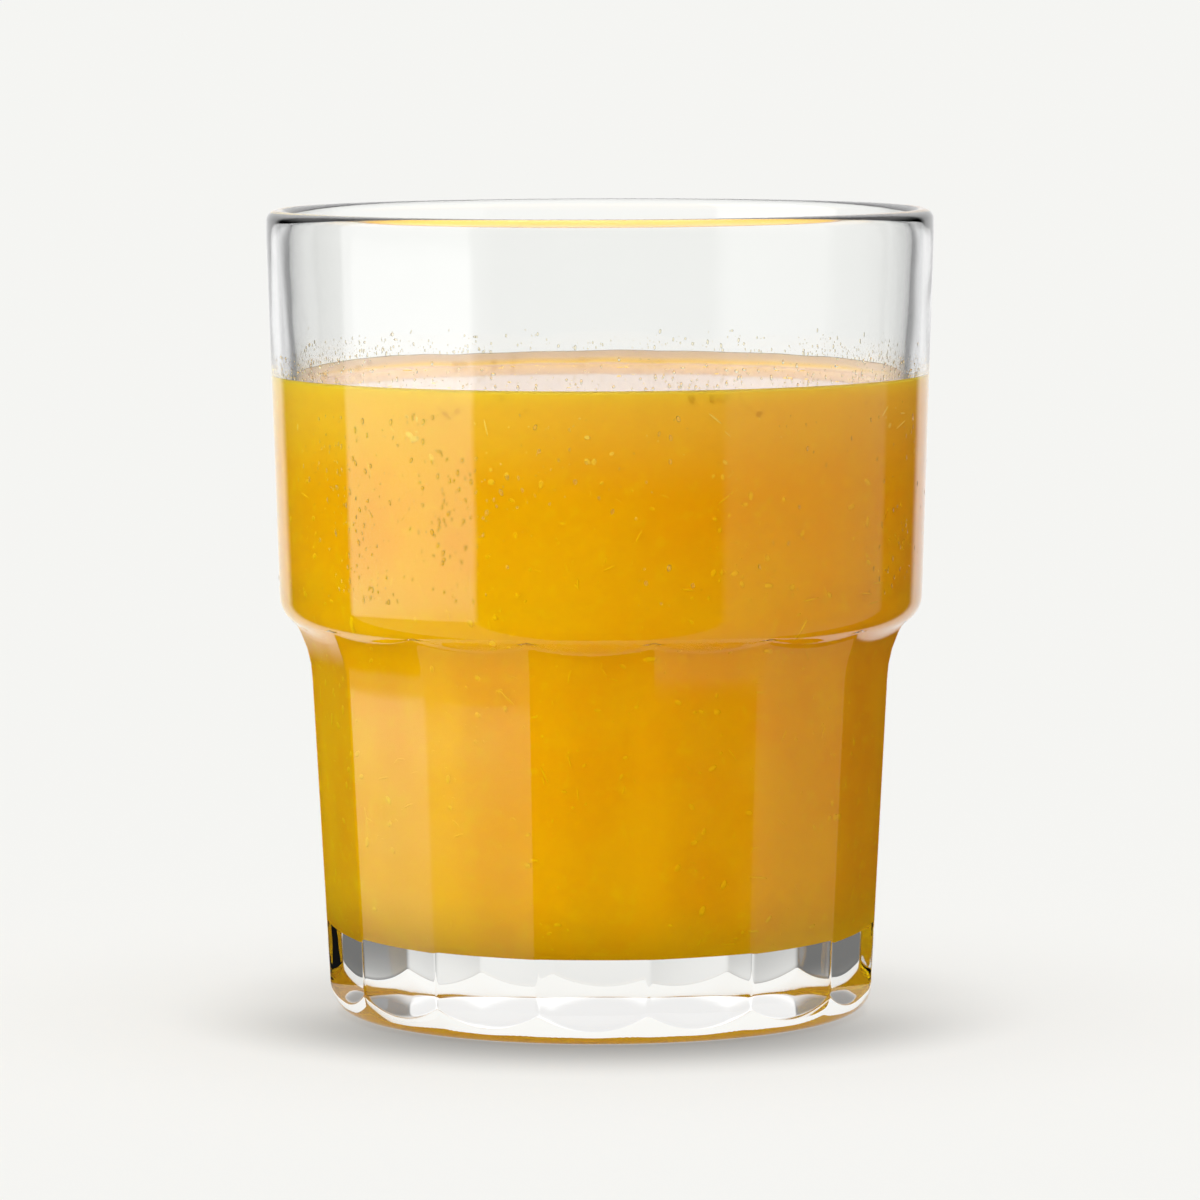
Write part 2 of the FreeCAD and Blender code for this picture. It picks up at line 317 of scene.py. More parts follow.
PAPER_HEIGHT = -0.00005
NEAR_PAPER, ROUND_PAPER, FAR_PAPER = 0.05, 0.16, 60.0
CONTACT_SHADE, SIDE_SHADE = 0.52, 0.78
PAPER_COLOUR, PAPER_GLOW, PAPER_BLUE = 0.205, 0.665, 0.975

paper = bpy.data.materials.new("pale_paper")
paper.use_nodes = True
sheet_tree = paper.node_tree
paper_shader = sheet_tree.nodes["Principled BSDF"]
paper_shader.inputs["Roughness"].default_value = 1.0
paper_shader.inputs["Specular IOR Level"].default_value = 0.0
spot = add_node(sheet_tree, "ShaderNodeTexCoord")
spot_parts = add_node(sheet_tree, "ShaderNodeSeparateXYZ", Vector=spot.outputs["Object"])
spot_x, spot_y = spot_parts.outputs[0], spot_parts.outputs[1]
reach = sums(sheet_tree, "SQRT", sums(sheet_tree, "ADD", sums(sheet_tree, "MULTIPLY", spot_x, spot_x),
                                      sums(sheet_tree, "MULTIPLY", spot_y, spot_y)))
toward = sums(sheet_tree, "DIVIDE", sums(sheet_tree, "MULTIPLY", spot_y, -1.0), reach)
in_front = soft_step(sheet_tree, toward, -0.2, 0.9, 0.25, 1.0)
beside = sums(sheet_tree, "MULTIPLY", soft_step(sheet_tree, reach, 0.031, 0.033),
              soft_step(sheet_tree, reach, 0.032, 0.060, 1.0, 0.0))
beside = sums(sheet_tree, "MULTIPLY", beside, in_front)
turned_spot = sums(sheet_tree, "MULTIPLY", sums(sheet_tree, "ABSOLUTE",
                   sums(sheet_tree, "ARCTAN2", spot_x, spot_y)), 180 / pi)
flanks = sums(sheet_tree, "MULTIPLY", soft_step(sheet_tree, turned_spot, 3, 32),
              soft_step(sheet_tree, turned_spot, 110, 150, 1.0, 0.0))
flanks = sums(sheet_tree, "MULTIPLY", flanks, soft_step(sheet_tree, reach, 0.040, 0.055))
ray = add_node(sheet_tree, "ShaderNodeLightPath")
flanks = sums(sheet_tree, "MULTIPLY", flanks, ray.outputs["Is Transmission Ray"])
tone = sums(sheet_tree, "SUBTRACT", 1.0, sums(sheet_tree, "MULTIPLY", beside, CONTACT_SHADE))
tone = sums(sheet_tree, "MULTIPLY", tone, sums(sheet_tree, "SUBTRACT", 1.0,
            sums(sheet_tree, "MULTIPLY", flanks, SIDE_SHADE)))
for socket, share in (("Base Color", PAPER_COLOUR), ("Emission Color", PAPER_GLOW)):
    mixed = add_node(sheet_tree, "ShaderNodeCombineColor", Red=sums(sheet_tree, "MULTIPLY", tone, share),
                     Green=sums(sheet_tree, "MULTIPLY", tone, share),
                     Blue=sums(sheet_tree, "MULTIPLY", tone, share * PAPER_BLUE))
    sheet_tree.links.new(mixed.outputs[0], paper_shader.inputs[socket])
paper_shader.inputs["Emission Strength"].default_value = 1.0
floor_near = ring_mesh("floor_near", 0, NEAR_PAPER, PAPER_HEIGHT)
floor_round = ring_mesh("floor_round", NEAR_PAPER, ROUND_PAPER, PAPER_HEIGHT)
floor_far = ring_mesh("floor_far", ROUND_PAPER, FAR_PAPER, PAPER_HEIGHT)
for sheet in (floor_near, floor_round, floor_far):
    sheet.data.materials.append(paper)
    sheet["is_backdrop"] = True
floor_round.visible_glossy = False
floor_far.visible_glossy = False
floor_far.visible_transmission = False
print("floor laid")

# %% [markdown]
# ## The section of the glass
#
# Pressed glass is drawn as a half section. The inside is turned, so one list of
# points describes it. The outside is round too, except for the flats, so its radius
# depends on the height and on where you stand round the glass. The flats meet the
# round foot and the shoulder in soft edges, which a smooth minimum and a smooth
# maximum make.

# %% The inside of the glass
def arc(centre, radius, start, end, steps):
    """Points on an arc of the section, angles in degrees."""
    made = []
    for k in range(steps + 1):
        a = radians(start + (end - start) * k / steps)
        made.append((centre[0] + radius * cos(a), centre[1] + radius * sin(a)))
    return made


def spread(start, end, steps):
    """Points on a straight run, without its first point."""
    return [(start[0] + (end[0] - start[0]) * k / steps, start[1] + (end[1] - start[1]) * k / steps)
            for k in range(1, steps + 1)]


LEAN = atan(FLAT_LEAN)
CORNER_ROUND, CORNER_RADIUS = 8.5, 23.722
STEP_MIDDLE, STEP_ROUND, STEP_TURN = (35.862, 52.0), 11.0, 34.2


def on_step(along, out):
    """A point of the inner step, measured along and out from the wall."""
    return (STEP_MIDDLE[0] + along * sin(LEAN) + out * cos(LEAN),
            STEP_MIDDLE[1] + along * cos(LEAN) - out * sin(LEAN))


def step_points(steps=14):
    """The two bends of the inner step, from the bottom up."""
    half = STEP_ROUND * sin(radians(STEP_TURN))
    shift = STEP_ROUND * (1 - cos(radians(STEP_TURN)))
    lower, upper = [], []
    for k in range(steps + 1):
        a = radians(STEP_TURN * k / steps)
        lower.append(on_step(-half + STEP_ROUND * sin(a), -shift + STEP_ROUND * (1 - cos(a))))
        upper.append(on_step(half - STEP_ROUND * sin(a), shift - STEP_ROUND * (1 - cos(a))))
    return lower + upper[::-1][1:]


def inner_wall(z):
    """Radius of the inside above the step."""
    return INNER_WALL_AT_TABLE + z * FLAT_LEAN


def inside_points(top):
    """The inner profile from the middle of the floor up to a height on the wall."""
    corner = arc((CORNER_RADIUS, INNER_FLOOR + CORNER_ROUND), CORNER_ROUND, -90, -degrees(LEAN), 16)
    step = step_points()
    wall_top = (inner_wall(top), top)
    points = [(0.0, INNER_FLOOR)] + spread((0.0, INNER_FLOOR), corner[0], 8) + corner[1:]
    points += spread(corner[-1], step[0], 12) + step[1:]
    points += spread(step[-1], wall_top, 18)
    return points


print("inner profile:", len(inside_points(INNER_WALL_TOP)), "points")


# %% The outside of the glass
FACET = radians(360 / FLATS)
EDGE_ROUND = 2.0
FOOT_EDGE_SOFT, CREASE_SOFT = 0.35, 0.5
SHOULDER_CENTRE, SHOULDER_ROUND = (37.778, 54.016), 3.8
UNDERSIDE_DEGREES = 38
UNDERSIDE = radians(UNDERSIDE_DEGREES)
FOOT_CENTRE, FOOT_ROUND, FOOT_LEAN = (32.1, 2.9), 2.9, radians(25)
FLARE_START, FLARE_ROUND, FLARE_TURN = 44.0, 15.0, radians(21)


def flat_distance(z):
    """How far the flats stand from the axis: straight, then flaring out."""
    if z <= FLARE_START:
        return FLAT_AT_TABLE + z * FLAT_LEAN
    centre_r = FLAT_AT_TABLE + FLARE_START * FLAT_LEAN + FLARE_ROUND * cos(LEAN)
    centre_z = FLARE_START - FLARE_ROUND * sin(LEAN)
    end_lean = LEAN + FLARE_TURN
    end_z = centre_z + FLARE_ROUND * sin(end_lean)
    if z <= end_z:
        return centre_r - sqrt(FLARE_ROUND ** 2 - (z - centre_z) ** 2)
    return centre_r - FLARE_ROUND * cos(end_lean) + (z - end_z) * tan(end_lean)


def flat_radius(angle, distance):
    """Radius of the flatted section at an angle, with rounded edges between flats."""
    off = abs((angle + FACET / 2) % FACET - FACET / 2)
    centre = (distance - EDGE_ROUND) / cos(FACET / 2)
    touch = atan((distance - EDGE_ROUND) * tan(FACET / 2) / distance)
    if off <= touch:
        return distance / cos(off)
    away = FACET / 2 - off
    return centre * cos(away) + sqrt(EDGE_ROUND ** 2 - (centre * sin(away)) ** 2)


def foot_radius(z):
    """Radius of the round foot: a quarter round, then a lean outwards."""
    end_z = FOOT_CENTRE[1] - FOOT_ROUND * sin(FOOT_LEAN)
    if z <= end_z:
        return FOOT_CENTRE[0] + sqrt(max(0.0, FOOT_ROUND ** 2 - (FOOT_CENTRE[1] - z) ** 2))
    end_r = FOOT_CENTRE[0] + FOOT_ROUND * cos(FOOT_LEAN)
    return end_r + (z - end_z) * tan(FOOT_LEAN)


def shoulder_radius(z):
    """Radius of the shoulder and its sloping underside."""
    touch_r = SHOULDER_CENTRE[0] + SHOULDER_ROUND * sin(UNDERSIDE)
    touch_z = SHOULDER_CENTRE[1] - SHOULDER_ROUND * cos(UNDERSIDE)
    if z <= touch_z:
        return touch_r - (touch_z - z) / tan(UNDERSIDE)
    rise = min(z, SHOULDER_CENTRE[1] - SHOULDER_ROUND * sin(WALL_LEAN)) - SHOULDER_CENTRE[1]
    return SHOULDER_CENTRE[0] + sqrt(SHOULDER_ROUND ** 2 - rise ** 2)


def blend_low(a, b, soft):
    """The smaller of two radii, with a soft edge."""
    h = max(soft - abs(a - b), 0.0) / soft
    return min(a, b) - h * h * soft / 4


def outside_radius(angle, z):
    """Radius of the outside below the upper wall."""
    low = blend_low(flat_radius(angle, flat_distance(z)), foot_radius(z), FOOT_EDGE_SOFT)
    return -blend_low(-low, -shoulder_radius(z), CREASE_SOFT)


print(f"flats {2 * flat_distance(10):.1f} mm across near the foot")

# %% [markdown]
# ## The tumbler's skin
#
# The skin is one closed net of rings. Its columns crowd together at the edges
# between flats, and its rings crowd at the foot and at the shoulder's crease, where
# the outline bends sharply. The columns run up the outside, over the lip and down
# the inside. Both ends close in a single point on the axis.

# %% Shape the tumbler
FOOT_SEARCH, CREASE_SEARCH = (1.0, 8.0), (47.0, 51.0)
NEAR_FOOT_EDGE = (-0.9, -0.6, -0.4, -0.25, -0.12, 0, 0.12, 0.25, 0.4, 0.6, 1.0)
NEAR_CREASE = (-0.7, -0.45, -0.3, -0.18, -0.08, 0, 0.08, 0.18, 0.3, 0.45, 0.65)
EDGE_MARGIN = 1.0
LIP_OUTER_ROUND, LIP_INNER_ROUND = 1.4, 1.2


def facet_columns():
    """Angles of the columns, close together beside each edge of a flat."""
    half = [0.0, 1.6, 3.2, 4.8, 6.4, 7.8, 9.0, 9.9, 10.45, 10.75, 10.95, 11.12]
    offs = [-h for h in half[:0:-1]] + half + [11.25]
    return [radians(k * 360 / FLATS + off) for k in range(FLATS) for off in offs]


def meet(angle, low, high, first, second):
    """Height at which two radii are equal, by halving."""
    sign = first(angle, low) < second(angle, low)
    for _ in range(40):
        middle = (low + high) / 2
        if (first(angle, middle) < second(angle, middle)) == sign:
            low = middle
        else:
            high = middle
    return (low + high) / 2


def outside_column(angle):
    """The outline of the outside at one angle, from the ring to the shoulder."""
    def flats_at(a, z):
        return flat_radius(a, flat_distance(z))

    start = meet(angle, *FOOT_SEARCH, lambda a, z: foot_radius(z), flats_at)
    crease = meet(angle, *CREASE_SEARCH, lambda a, z: shoulder_radius(z), flats_at)
    heights = [FOOT_ROUND * (1 - cos(radians(60 * k / 8))) for k in range(1, 7)]
    marks = [z for z in heights if z < start - EDGE_MARGIN]
    while len(marks) < len(heights):
        marks = marks + [start - EDGE_MARGIN - 0.01 * (len(heights) - len(marks))]
    marks = marks + [start + d for d in NEAR_FOOT_EDGE]
    low, high = start + EDGE_MARGIN, crease - EDGE_MARGIN
    marks += [low + (high - low) * k / 22 for k in range(1, 23)]
    marks += [crease + d for d in NEAR_CREASE]
    return [(outside_radius(angle, z), z) for z in marks]


def upper_points():
    """The shared outline from the shoulder up and over the lip, then down inside."""
    points = arc(SHOULDER_CENTRE, SHOULDER_ROUND, UNDERSIDE_DEGREES - 90, -WALL_LEAN_DEGREES, 12)
    points += spread(points[-1], (RIM_RADIUS, RIM_BAND_FOOT), 22)
    points += spread(points[-1], (RIM_RADIUS, TALL - LIP_OUTER_ROUND), 2)
    lip_middle = RIM_RADIUS - LIP_OUTER_ROUND
    points += arc((lip_middle, TALL - LIP_OUTER_ROUND), LIP_OUTER_ROUND, 0, 90, 8)[1:]
    points += arc((lip_middle, TALL - LIP_INNER_ROUND), LIP_INNER_ROUND, 90, 180 - FLAT_LEAN_DEGREES, 8)[1:]
    return points


def closed_net(name, columns, outlines):
    """A mesh from one outline per column. First and last points lie on the axis."""
    mesh = bpy.data.meshes.new(name)
    rows = len(outlines[0])
    first = (0.0, 0.0, outlines[0][0][1] * MM)
    last = (0.0, 0.0, outlines[0][-1][1] * MM)
    points, faces = [first, last], []
    for angle, outline in zip(columns, outlines):
        points += [(r * MM * cos(angle), r * MM * sin(angle), z * MM) for r, z in outline[1:-1]]
    inner = rows - 2
    count = len(columns)
    for k in range(count):
        a, b = 2 + k * inner, 2 + ((k + 1) % count) * inner
        faces.append((0, b, a))
        faces.append((1, a + inner - 1, b + inner - 1))
        for j in range(inner - 1):
            faces.append((a + j, b + j, b + j + 1, a + j + 1))
    mesh.from_pydata(points, [], faces)
    mesh.polygons.foreach_set("use_smooth", [True] * len(mesh.polygons))
    mesh.update()
    piece = bpy.data.objects.new(name, mesh)
    scene.collection.objects.link(piece)
    return piece


RING_OUTER, HOLLOW = 32.1, 1.5
under = [(0.0, HOLLOW), (8.0, HOLLOW), (16.0, HOLLOW), (22.0, HOLLOW), (25.2, HOLLOW), (25.8, 1.45)]
under += [(26.1, 1.3), (26.6, 0.7), (27.1, 0.2), (27.4, 0.04), (27.9, 0.0), (30.0, 0.0), (RING_OUTER, 0.0)]
inside = inside_points(INNER_WALL_TOP)[::-1]
upper = upper_points()
columns = facet_columns()
outlines = []
for angle in columns:
    outer = outside_column(angle)
    gap = spread(outer[-1], upper[0], 3)
    outlines.append(under + outer + gap + upper[1:] + inside[1:])
tumbler = closed_net("tumbler_glass", columns, outlines)
print("tumbler skin:", len(tumbler.data.polygons), "faces, box",
      [round(c / MM, 2) for c in tumbler.dimensions])

# %% [markdown]
# ## Clear glass
#
# Soda-lime glass bends light by 1.5 and has almost no colour of its own. Pressed
# glass is never quite flat, so a very gentle waviness bends what is seen through it.

# %% The glass finish
glass = bpy.data.materials.new("clear_pressed_glass")
glass.use_nodes = True
tree = glass.node_tree
glass_shader = tree.nodes["Principled BSDF"]
glass_shader.inputs["Base Color"].default_value = (0.985, 0.99, 0.988, 1)
glass_shader.inputs["Roughness"].default_value = 0.0
glass_shader.inputs["IOR"].default_value = 1.5
glass_shader.inputs["Transmission Weight"].default_value = 1.0
place_on = add_node(tree, "ShaderNodeTexCoord")
waves = add_node(tree, "ShaderNodeTexNoise", Vector=place_on.outputs["Object"], Scale=95.0, Detail=1.0)
bend = add_node(tree, "ShaderNodeBump", Height=waves.outputs[0], Strength=0.07, Distance=0.0006)
tree.links.new(bend.outputs[0], glass_shader.inputs["Normal"])
tumbler.data.materials.append(glass)
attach(tumbler, "root")
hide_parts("tumbler")
print("glass finished")

# %% [markdown]
# ## The drink
#
# The juice takes the shape of the inside of the glass. Its skin reaches a fraction of
# a millimetre into the wall, so that no air shows between them, as between a real
# drink and its glass. At the top it climbs a little where it wets the wall.

# %% Shape the juice
INTO_WALL = 0.2
BELOW_CONTACT, EDGE_RISE = 0.4, 0.12
CLIMB_RADIUS, CLIMB_CENTRE = 3.003, (36.754, 84.003)


def juice_outline():
    """From the middle of the bottom, up inside the wall, and back over the top."""
    wall = inside_points(CONTACT - BELOW_CONTACT)
    moved = [(0.0, INNER_FLOOR - INTO_WALL)]
    for k in range(1, len(wall)):
        before, after = wall[k - 1], wall[min(k + 1, len(wall) - 1)]
        run, rise = after[0] - before[0], after[1] - before[1]
        length = sqrt(run * run + rise * rise)
        moved.append((wall[k][0] + INTO_WALL * rise / length, wall[k][1] - INTO_WALL * run / length))
    climb = arc(CLIMB_CENTRE, CLIMB_RADIUS, -30, -90, 10)
    edge = (climb[0][0] + INTO_WALL * 0.8, CONTACT + EDGE_RISE)
    level = [(CLIMB_CENTRE[0] * k / 14, LEVEL) for k in range(13, -1, -1)]
    return moved + [edge] + climb + level


JUICE_COLUMNS = 256
outline = juice_outline()
round_columns = [2 * pi * k / JUICE_COLUMNS for k in range(JUICE_COLUMNS)]
juice = closed_net("orange_juice", round_columns, [outline] * JUICE_COLUMNS)
print("juice skin:", len(juice.data.polygons), "faces, box",
      [round(c / MM, 2) for c in juice.dimensions])

# %% [markdown]
# ## Juice finish
#
# Orange juice is cloudy: light goes in, scatters among the pulp and comes out again a
# few millimetres away, the blue hardly at all. Subsurface scattering does part of
# this and plain colour the rest, because scattering alone turns thin edges green.
# Part of that colour is painted light: towards the top the juice and its pulp turn
# paler and yellower, as if lit from above through the open surface.
# Two sizes of noise mottle the orange. Against the glass the juice has no shine of
# its own, because it wets the wall. Only its open top is glossy, so the top has a
# second finish. Its colour is paler at a grazing angle, a painted reflection of the
# backdrop, and paler where it thins at the wall, a painted highlight.

# %% The juice finishes
DEEP_ORANGE = (0.95, 0.44, 0.0005, 1)
MID_ORANGE = (0.96, 0.49, 0.001, 1)
PULP_ORANGE = (0.97, 0.60, 0.002, 1)
# Painted light from above: the juice's colour towards the top.
TOP_LIT_ORANGE = (0.96, 0.56, 0.05, 1)
OPEN_ORANGE = (0.93, 0.56, 0.07, 1)
# Painted reflection and highlight: the open top's colour at a grazing angle and at the wall's edge.
OPEN_REFLECTION_PAINT = (0.84, 0.57, 0.40, 1)
# Painted light from above: the pulp's colour towards the top.
TOP_LIT_PULP = (1.0, 0.72, 0.14, 1)
WET_BITS = (0.94, 0.64, 0.16, 1)
FLECKED = 0.35
CLOUD_REACH, CLOUD_SCALE = (1.0, 0.95, 0.4), 0.0035
OPEN_SHINE, OPEN_ROUGH = 0.6, 0.05


def juice_finish(name, shine, rough, near=TOP_LIT_ORANGE, top=0.8, lighten=FLECKED, cloud_depth=0.3,
                 reflection_paint=None):
    """Cloudy juice. Near the top it goes towards one colour, painted light from above, and at a grazing
    angle towards another, a painted reflection.
    """
    made = bpy.data.materials.new(name)
    made.use_nodes = True
    nodes = made.node_tree
    shader = nodes.nodes["Principled BSDF"]
    where = add_node(nodes, "ShaderNodeTexCoord")
    cloud = add_node(nodes, "ShaderNodeTexNoise", Vector=where.outputs["Object"], Scale=70.0,
                     Detail=3.0, Roughness=0.6)
    pulp = add_node(nodes, "ShaderNodeTexNoise", Vector=where.outputs["Object"], Scale=420.0,
                    Detail=2.0, Roughness=0.6)
    cloudy = soft_step(nodes, cloud.outputs[0], 0.35, 0.65)
    pulpy = soft_step(nodes, pulp.outputs[0], 0.55, 0.75)
    deep = add_node(nodes, "ShaderNodeMix", {"data_type": "RGBA"})
    nodes.links.new(cloudy, deep.inputs[0])
    deep.inputs[6].default_value = DEEP_ORANGE
    deep.inputs[7].default_value = MID_ORANGE
    fleck = add_node(nodes, "ShaderNodeMix", {"data_type": "RGBA"})
    nodes.links.new(sums(nodes, "MULTIPLY_ADD", pulpy, FLECKED, lighten - FLECKED), fleck.inputs[0])
    nodes.links.new(deep.outputs[2], fleck.inputs[6])
    fleck.inputs[7].default_value = PULP_ORANGE
    height = add_node(nodes, "ShaderNodeSeparateXYZ", Vector=where.outputs["Object"])
    # Painted light: paler and yellower towards the top, as if lit from above through the open surface.
    painted_top_light = soft_step(nodes, height.outputs[2], 0.068, 0.083)
    painted_top_mix = add_node(nodes, "ShaderNodeMix", {"data_type": "RGBA"})
    nodes.links.new(sums(nodes, "MULTIPLY", painted_top_light, top), painted_top_mix.inputs[0])
    nodes.links.new(fleck.outputs[2], painted_top_mix.inputs[6])
    painted_top_mix.inputs[7].default_value = near
    # Painted reflection at a grazing angle, and a painted highlight where the top thins at the wall.
    if reflection_paint:
        facing = add_node(nodes, "ShaderNodeLayerWeight", Blend=0.5)
        painted_reflection_mask = soft_step(nodes, facing.outputs["Facing"], 0.50, 0.90)
        painted_edge_highlight = soft_step(nodes, height.outputs[2], 0.0811, 0.0820)
        painted_reflection_mask = sums(nodes, "MAXIMUM", painted_reflection_mask, painted_edge_highlight)
        paler = add_node(nodes, "ShaderNodeMix", {"data_type": "RGBA"})
        nodes.links.new(painted_reflection_mask, paler.inputs[0])
        paler.inputs[6].default_value = near
        paler.inputs[7].default_value = reflection_paint
        nodes.links.new(paler.outputs[2], painted_top_mix.inputs[7])
    nodes.links.new(painted_top_mix.outputs[2], shader.inputs["Base Color"])
    shader.inputs["Subsurface Weight"].default_value = cloud_depth
    shader.inputs["Subsurface Radius"].default_value = CLOUD_REACH
    shader.inputs["Subsurface Scale"].default_value = CLOUD_SCALE
    shader.inputs["Roughness"].default_value = rough
    shader.inputs["IOR"].default_value = 1.35
    shader.inputs["Specular IOR Level"].default_value = shine
    return made


juice_body = juice_finish("cloudy_orange_juice", 0.0, 1.0)
# The open top gets the painted reflection and highlight colour.
juice_top = juice_finish("juice_open_surface", OPEN_SHINE, OPEN_ROUGH, near=OPEN_ORANGE, top=1.0,
                         reflection_paint=OPEN_REFLECTION_PAINT)
OPEN_SLOPE = 0.3
juice.data.materials.append(juice_body)
juice.data.materials.append(juice_top)
for face in juice.data.polygons:
    if face.normal.z > OPEN_SLOPE:
        face.material_index = 1
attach(juice, "root")
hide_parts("juice")
print("juice finished")

# %% [markdown]
# ## Small things in and on the drink
#
# Pulp, bubbles and drops are all the same idea: one small round shape, repeated by
# the hundred over some part of a surface. Geometry Nodes does this well. A seat
# mesh says where they may sit, and an attribute on it says how thickly. The tree
# strews points, stands a squashed ball on each, and turns the result into a mesh.

# %% The strewing tree
def strewing_tree():
    """Strews squashed balls over a seat. Sizes are in metres."""
    made = bpy.data.node_groups.new("strew", "GeometryNodeTree")
    made.interface.new_socket(name="Seat", in_out="INPUT", socket_type="NodeSocketGeometry")
    for name in ("Per square metre", "Smallest", "Largest", "Length", "Thickness", "Spin"):
        made.interface.new_socket(name=name, in_out="INPUT", socket_type="NodeSocketFloat")
    made.interface.new_socket(name="Seed", in_out="INPUT", socket_type="NodeSocketInt")
    made.interface.new_socket(name="Finish", in_out="INPUT", socket_type="NodeSocketMaterial")
    made.interface.new_socket(name="Pieces", in_out="OUTPUT", socket_type="NodeSocketGeometry")
    given = made.nodes.new("NodeGroupInput").outputs
    seed = given["Seed"]

    amount = add_node(made, "GeometryNodeInputNamedAttribute", {"data_type": "FLOAT"}, Name="amount")
    density = sums(made, "MULTIPLY", amount.outputs["Attribute"], given["Per square metre"])
    strewn = add_node(made, "GeometryNodeDistributePointsOnFaces", Mesh=given["Seat"], Density=density,
                      Seed=seed)

    def chance(low, high, offset):
        node = made.nodes.new("FunctionNodeRandomValue")
        node.data_type = "FLOAT"
        for socket, value in ((node.inputs[2], low), (node.inputs[3], high)):
            if isinstance(value, bpy.types.NodeSocket):
                made.links.new(value, socket)
            else:
                socket.default_value = value
        made.links.new(sums(made, "ADD", seed, float(offset)), node.inputs["Seed"])
        return node.outputs[1]

    luck = sums(made, "POWER", chance(0.0, 1.0, 1), 2.5)
    span = sums(made, "SUBTRACT", given["Largest"], given["Smallest"])
    size = sums(made, "MULTIPLY_ADD", luck, span, given["Smallest"])
    longer = sums(made, "MULTIPLY", size, sums(made, "MULTIPLY", given["Length"], chance(0.7, 1.3, 2)))
    scale = add_node(made, "ShaderNodeCombineXYZ", X=size, Y=longer,
                     Z=sums(made, "MULTIPLY", size, given["Thickness"]))

    upright = add_node(made, "FunctionNodeAlignRotationToVector", {"axis": "Y", "pivot_axis": "Z"},
                       Rotation=strewn.outputs["Rotation"])
    upright.inputs["Vector"].default_value = (0, 0, 1)
    spin = add_node(made, "ShaderNodeCombineXYZ",
                    Z=sums(made, "MULTIPLY", chance(-1.0, 1.0, 3), given["Spin"]))
    by = add_node(made, "FunctionNodeEulerToRotation", Euler=spin.outputs[0])
    turned = add_node(made, "FunctionNodeRotateRotation", {"rotation_space": "LOCAL"},
                      Rotation=upright.outputs[0])
    made.links.new(by.outputs[0], turned.inputs["Rotate By"])

    ball = add_node(made, "GeometryNodeMeshUVSphere", Segments=8, Rings=5, Radius=1.0)
    stood = add_node(made, "GeometryNodeInstanceOnPoints", Points=strewn.outputs["Points"],
                     Instance=ball.outputs[0], Rotation=turned.outputs[0], Scale=scale.outputs[0])
    real = add_node(made, "GeometryNodeRealizeInstances", Geometry=stood.outputs[0])
    smooth = add_node(made, "GeometryNodeSetShadeSmooth", Geometry=real.outputs[0])
    finish = add_node(made, "GeometryNodeSetMaterial", Geometry=smooth.outputs[0], Material=given["Finish"])
    end = made.nodes.new("NodeGroupOutput")
    made.links.new(finish.outputs[0], end.inputs[0])
    return made


strew = strewing_tree()
print("strewing tree:", len(strew.nodes), "nodes")


# %% Seats and strewing
def seat_mesh(outline, amount, steps=180):
    """A turned surface, with an amount at every point that says how thickly to strew."""
    mesh = bpy.data.meshes.new("seat")
    rows = len(outline)
    points, faces, amounts = [], [], []
    for k in range(steps + 1):
        a = radians(360 * k / steps)
        for r, z in outline:
            points.append((r * MM * cos(a), r * MM * sin(a), z * MM))
            amounts.append(max(0.0, amount(degrees(a), r, z)))
    for k in range(steps):
        for j in range(rows - 1):
            a, b = k * rows + j, (k + 1) * rows + j
            faces.append((a, b, b + 1, a + 1))
    mesh.from_pydata(points, [], faces)
    mesh.attributes.new("amount", "FLOAT", "POINT").data.foreach_set("value", amounts)
    seat = bpy.data.objects.new("seat", mesh)
    scene.collection.objects.link(seat)
    return seat


def strewn_mesh(name, seat, finish, seed, per_mm2, smallest, largest, length=1.0, thickness=1.0,
                spin=180.0):
    """Runs the strewing tree on a seat and keeps the result as a plain mesh. Sizes in mm."""
    modifier = seat.modifiers.new("strew", "NODES")
    modifier.node_group = strew
    values = {"Per square metre": per_mm2 * 1e6, "Smallest": smallest * MM, "Largest": largest * MM,
              "Length": length, "Thickness": thickness, "Spin": radians(spin), "Seed": seed,
               "Finish": finish}
    for socket in strew.interface.items_tree:
        if socket.name in values:
            modifier[socket.identifier] = values[socket.name]
    bpy.context.view_layer.update()
    depsgraph = bpy.context.evaluated_depsgraph_get()
    mesh = bpy.data.meshes.new_from_object(seat.evaluated_get(depsgraph), depsgraph=depsgraph)
    seat.modifiers.remove(modifier)
    bpy.data.objects.remove(seat)
    mesh.name = name
    return mesh


def one_piece(name, meshes, finish):
    """Joins strewn meshes of one kind into one piece that rides with the glass."""
    joined = bmesh.new()
    for mesh in meshes:
        joined.from_mesh(mesh)
    mesh = bpy.data.meshes.new(name)
    joined.to_mesh(mesh)
    joined.free()
    mesh.materials.append(finish)
    for face in mesh.polygons:
        face.material_index = 0
    piece = bpy.data.objects.new(name, mesh)
    scene.collection.objects.link(piece)
    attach(piece, "root")
    print(f"{name}: {len(mesh.polygons)} faces")


def patchy(angle, z, size, low, seed):
    """Patches of more and less over a turned surface, from smooth noise."""
    a = radians(angle)
    spot = Vector((40 * cos(a) / size, 40 * sin(a) / size, z / size + seed))
    return max(0.0, noise.noise(spot) + low)


# %% [markdown]
# ## Pulp
#
# Small torn sacs of the orange float through the whole drink. Only those near the
# glass can be made out, as paler flecks and short fibres. Flecks are flat and lie
# any way round. Fibres are the same ball drawn out long and thin.

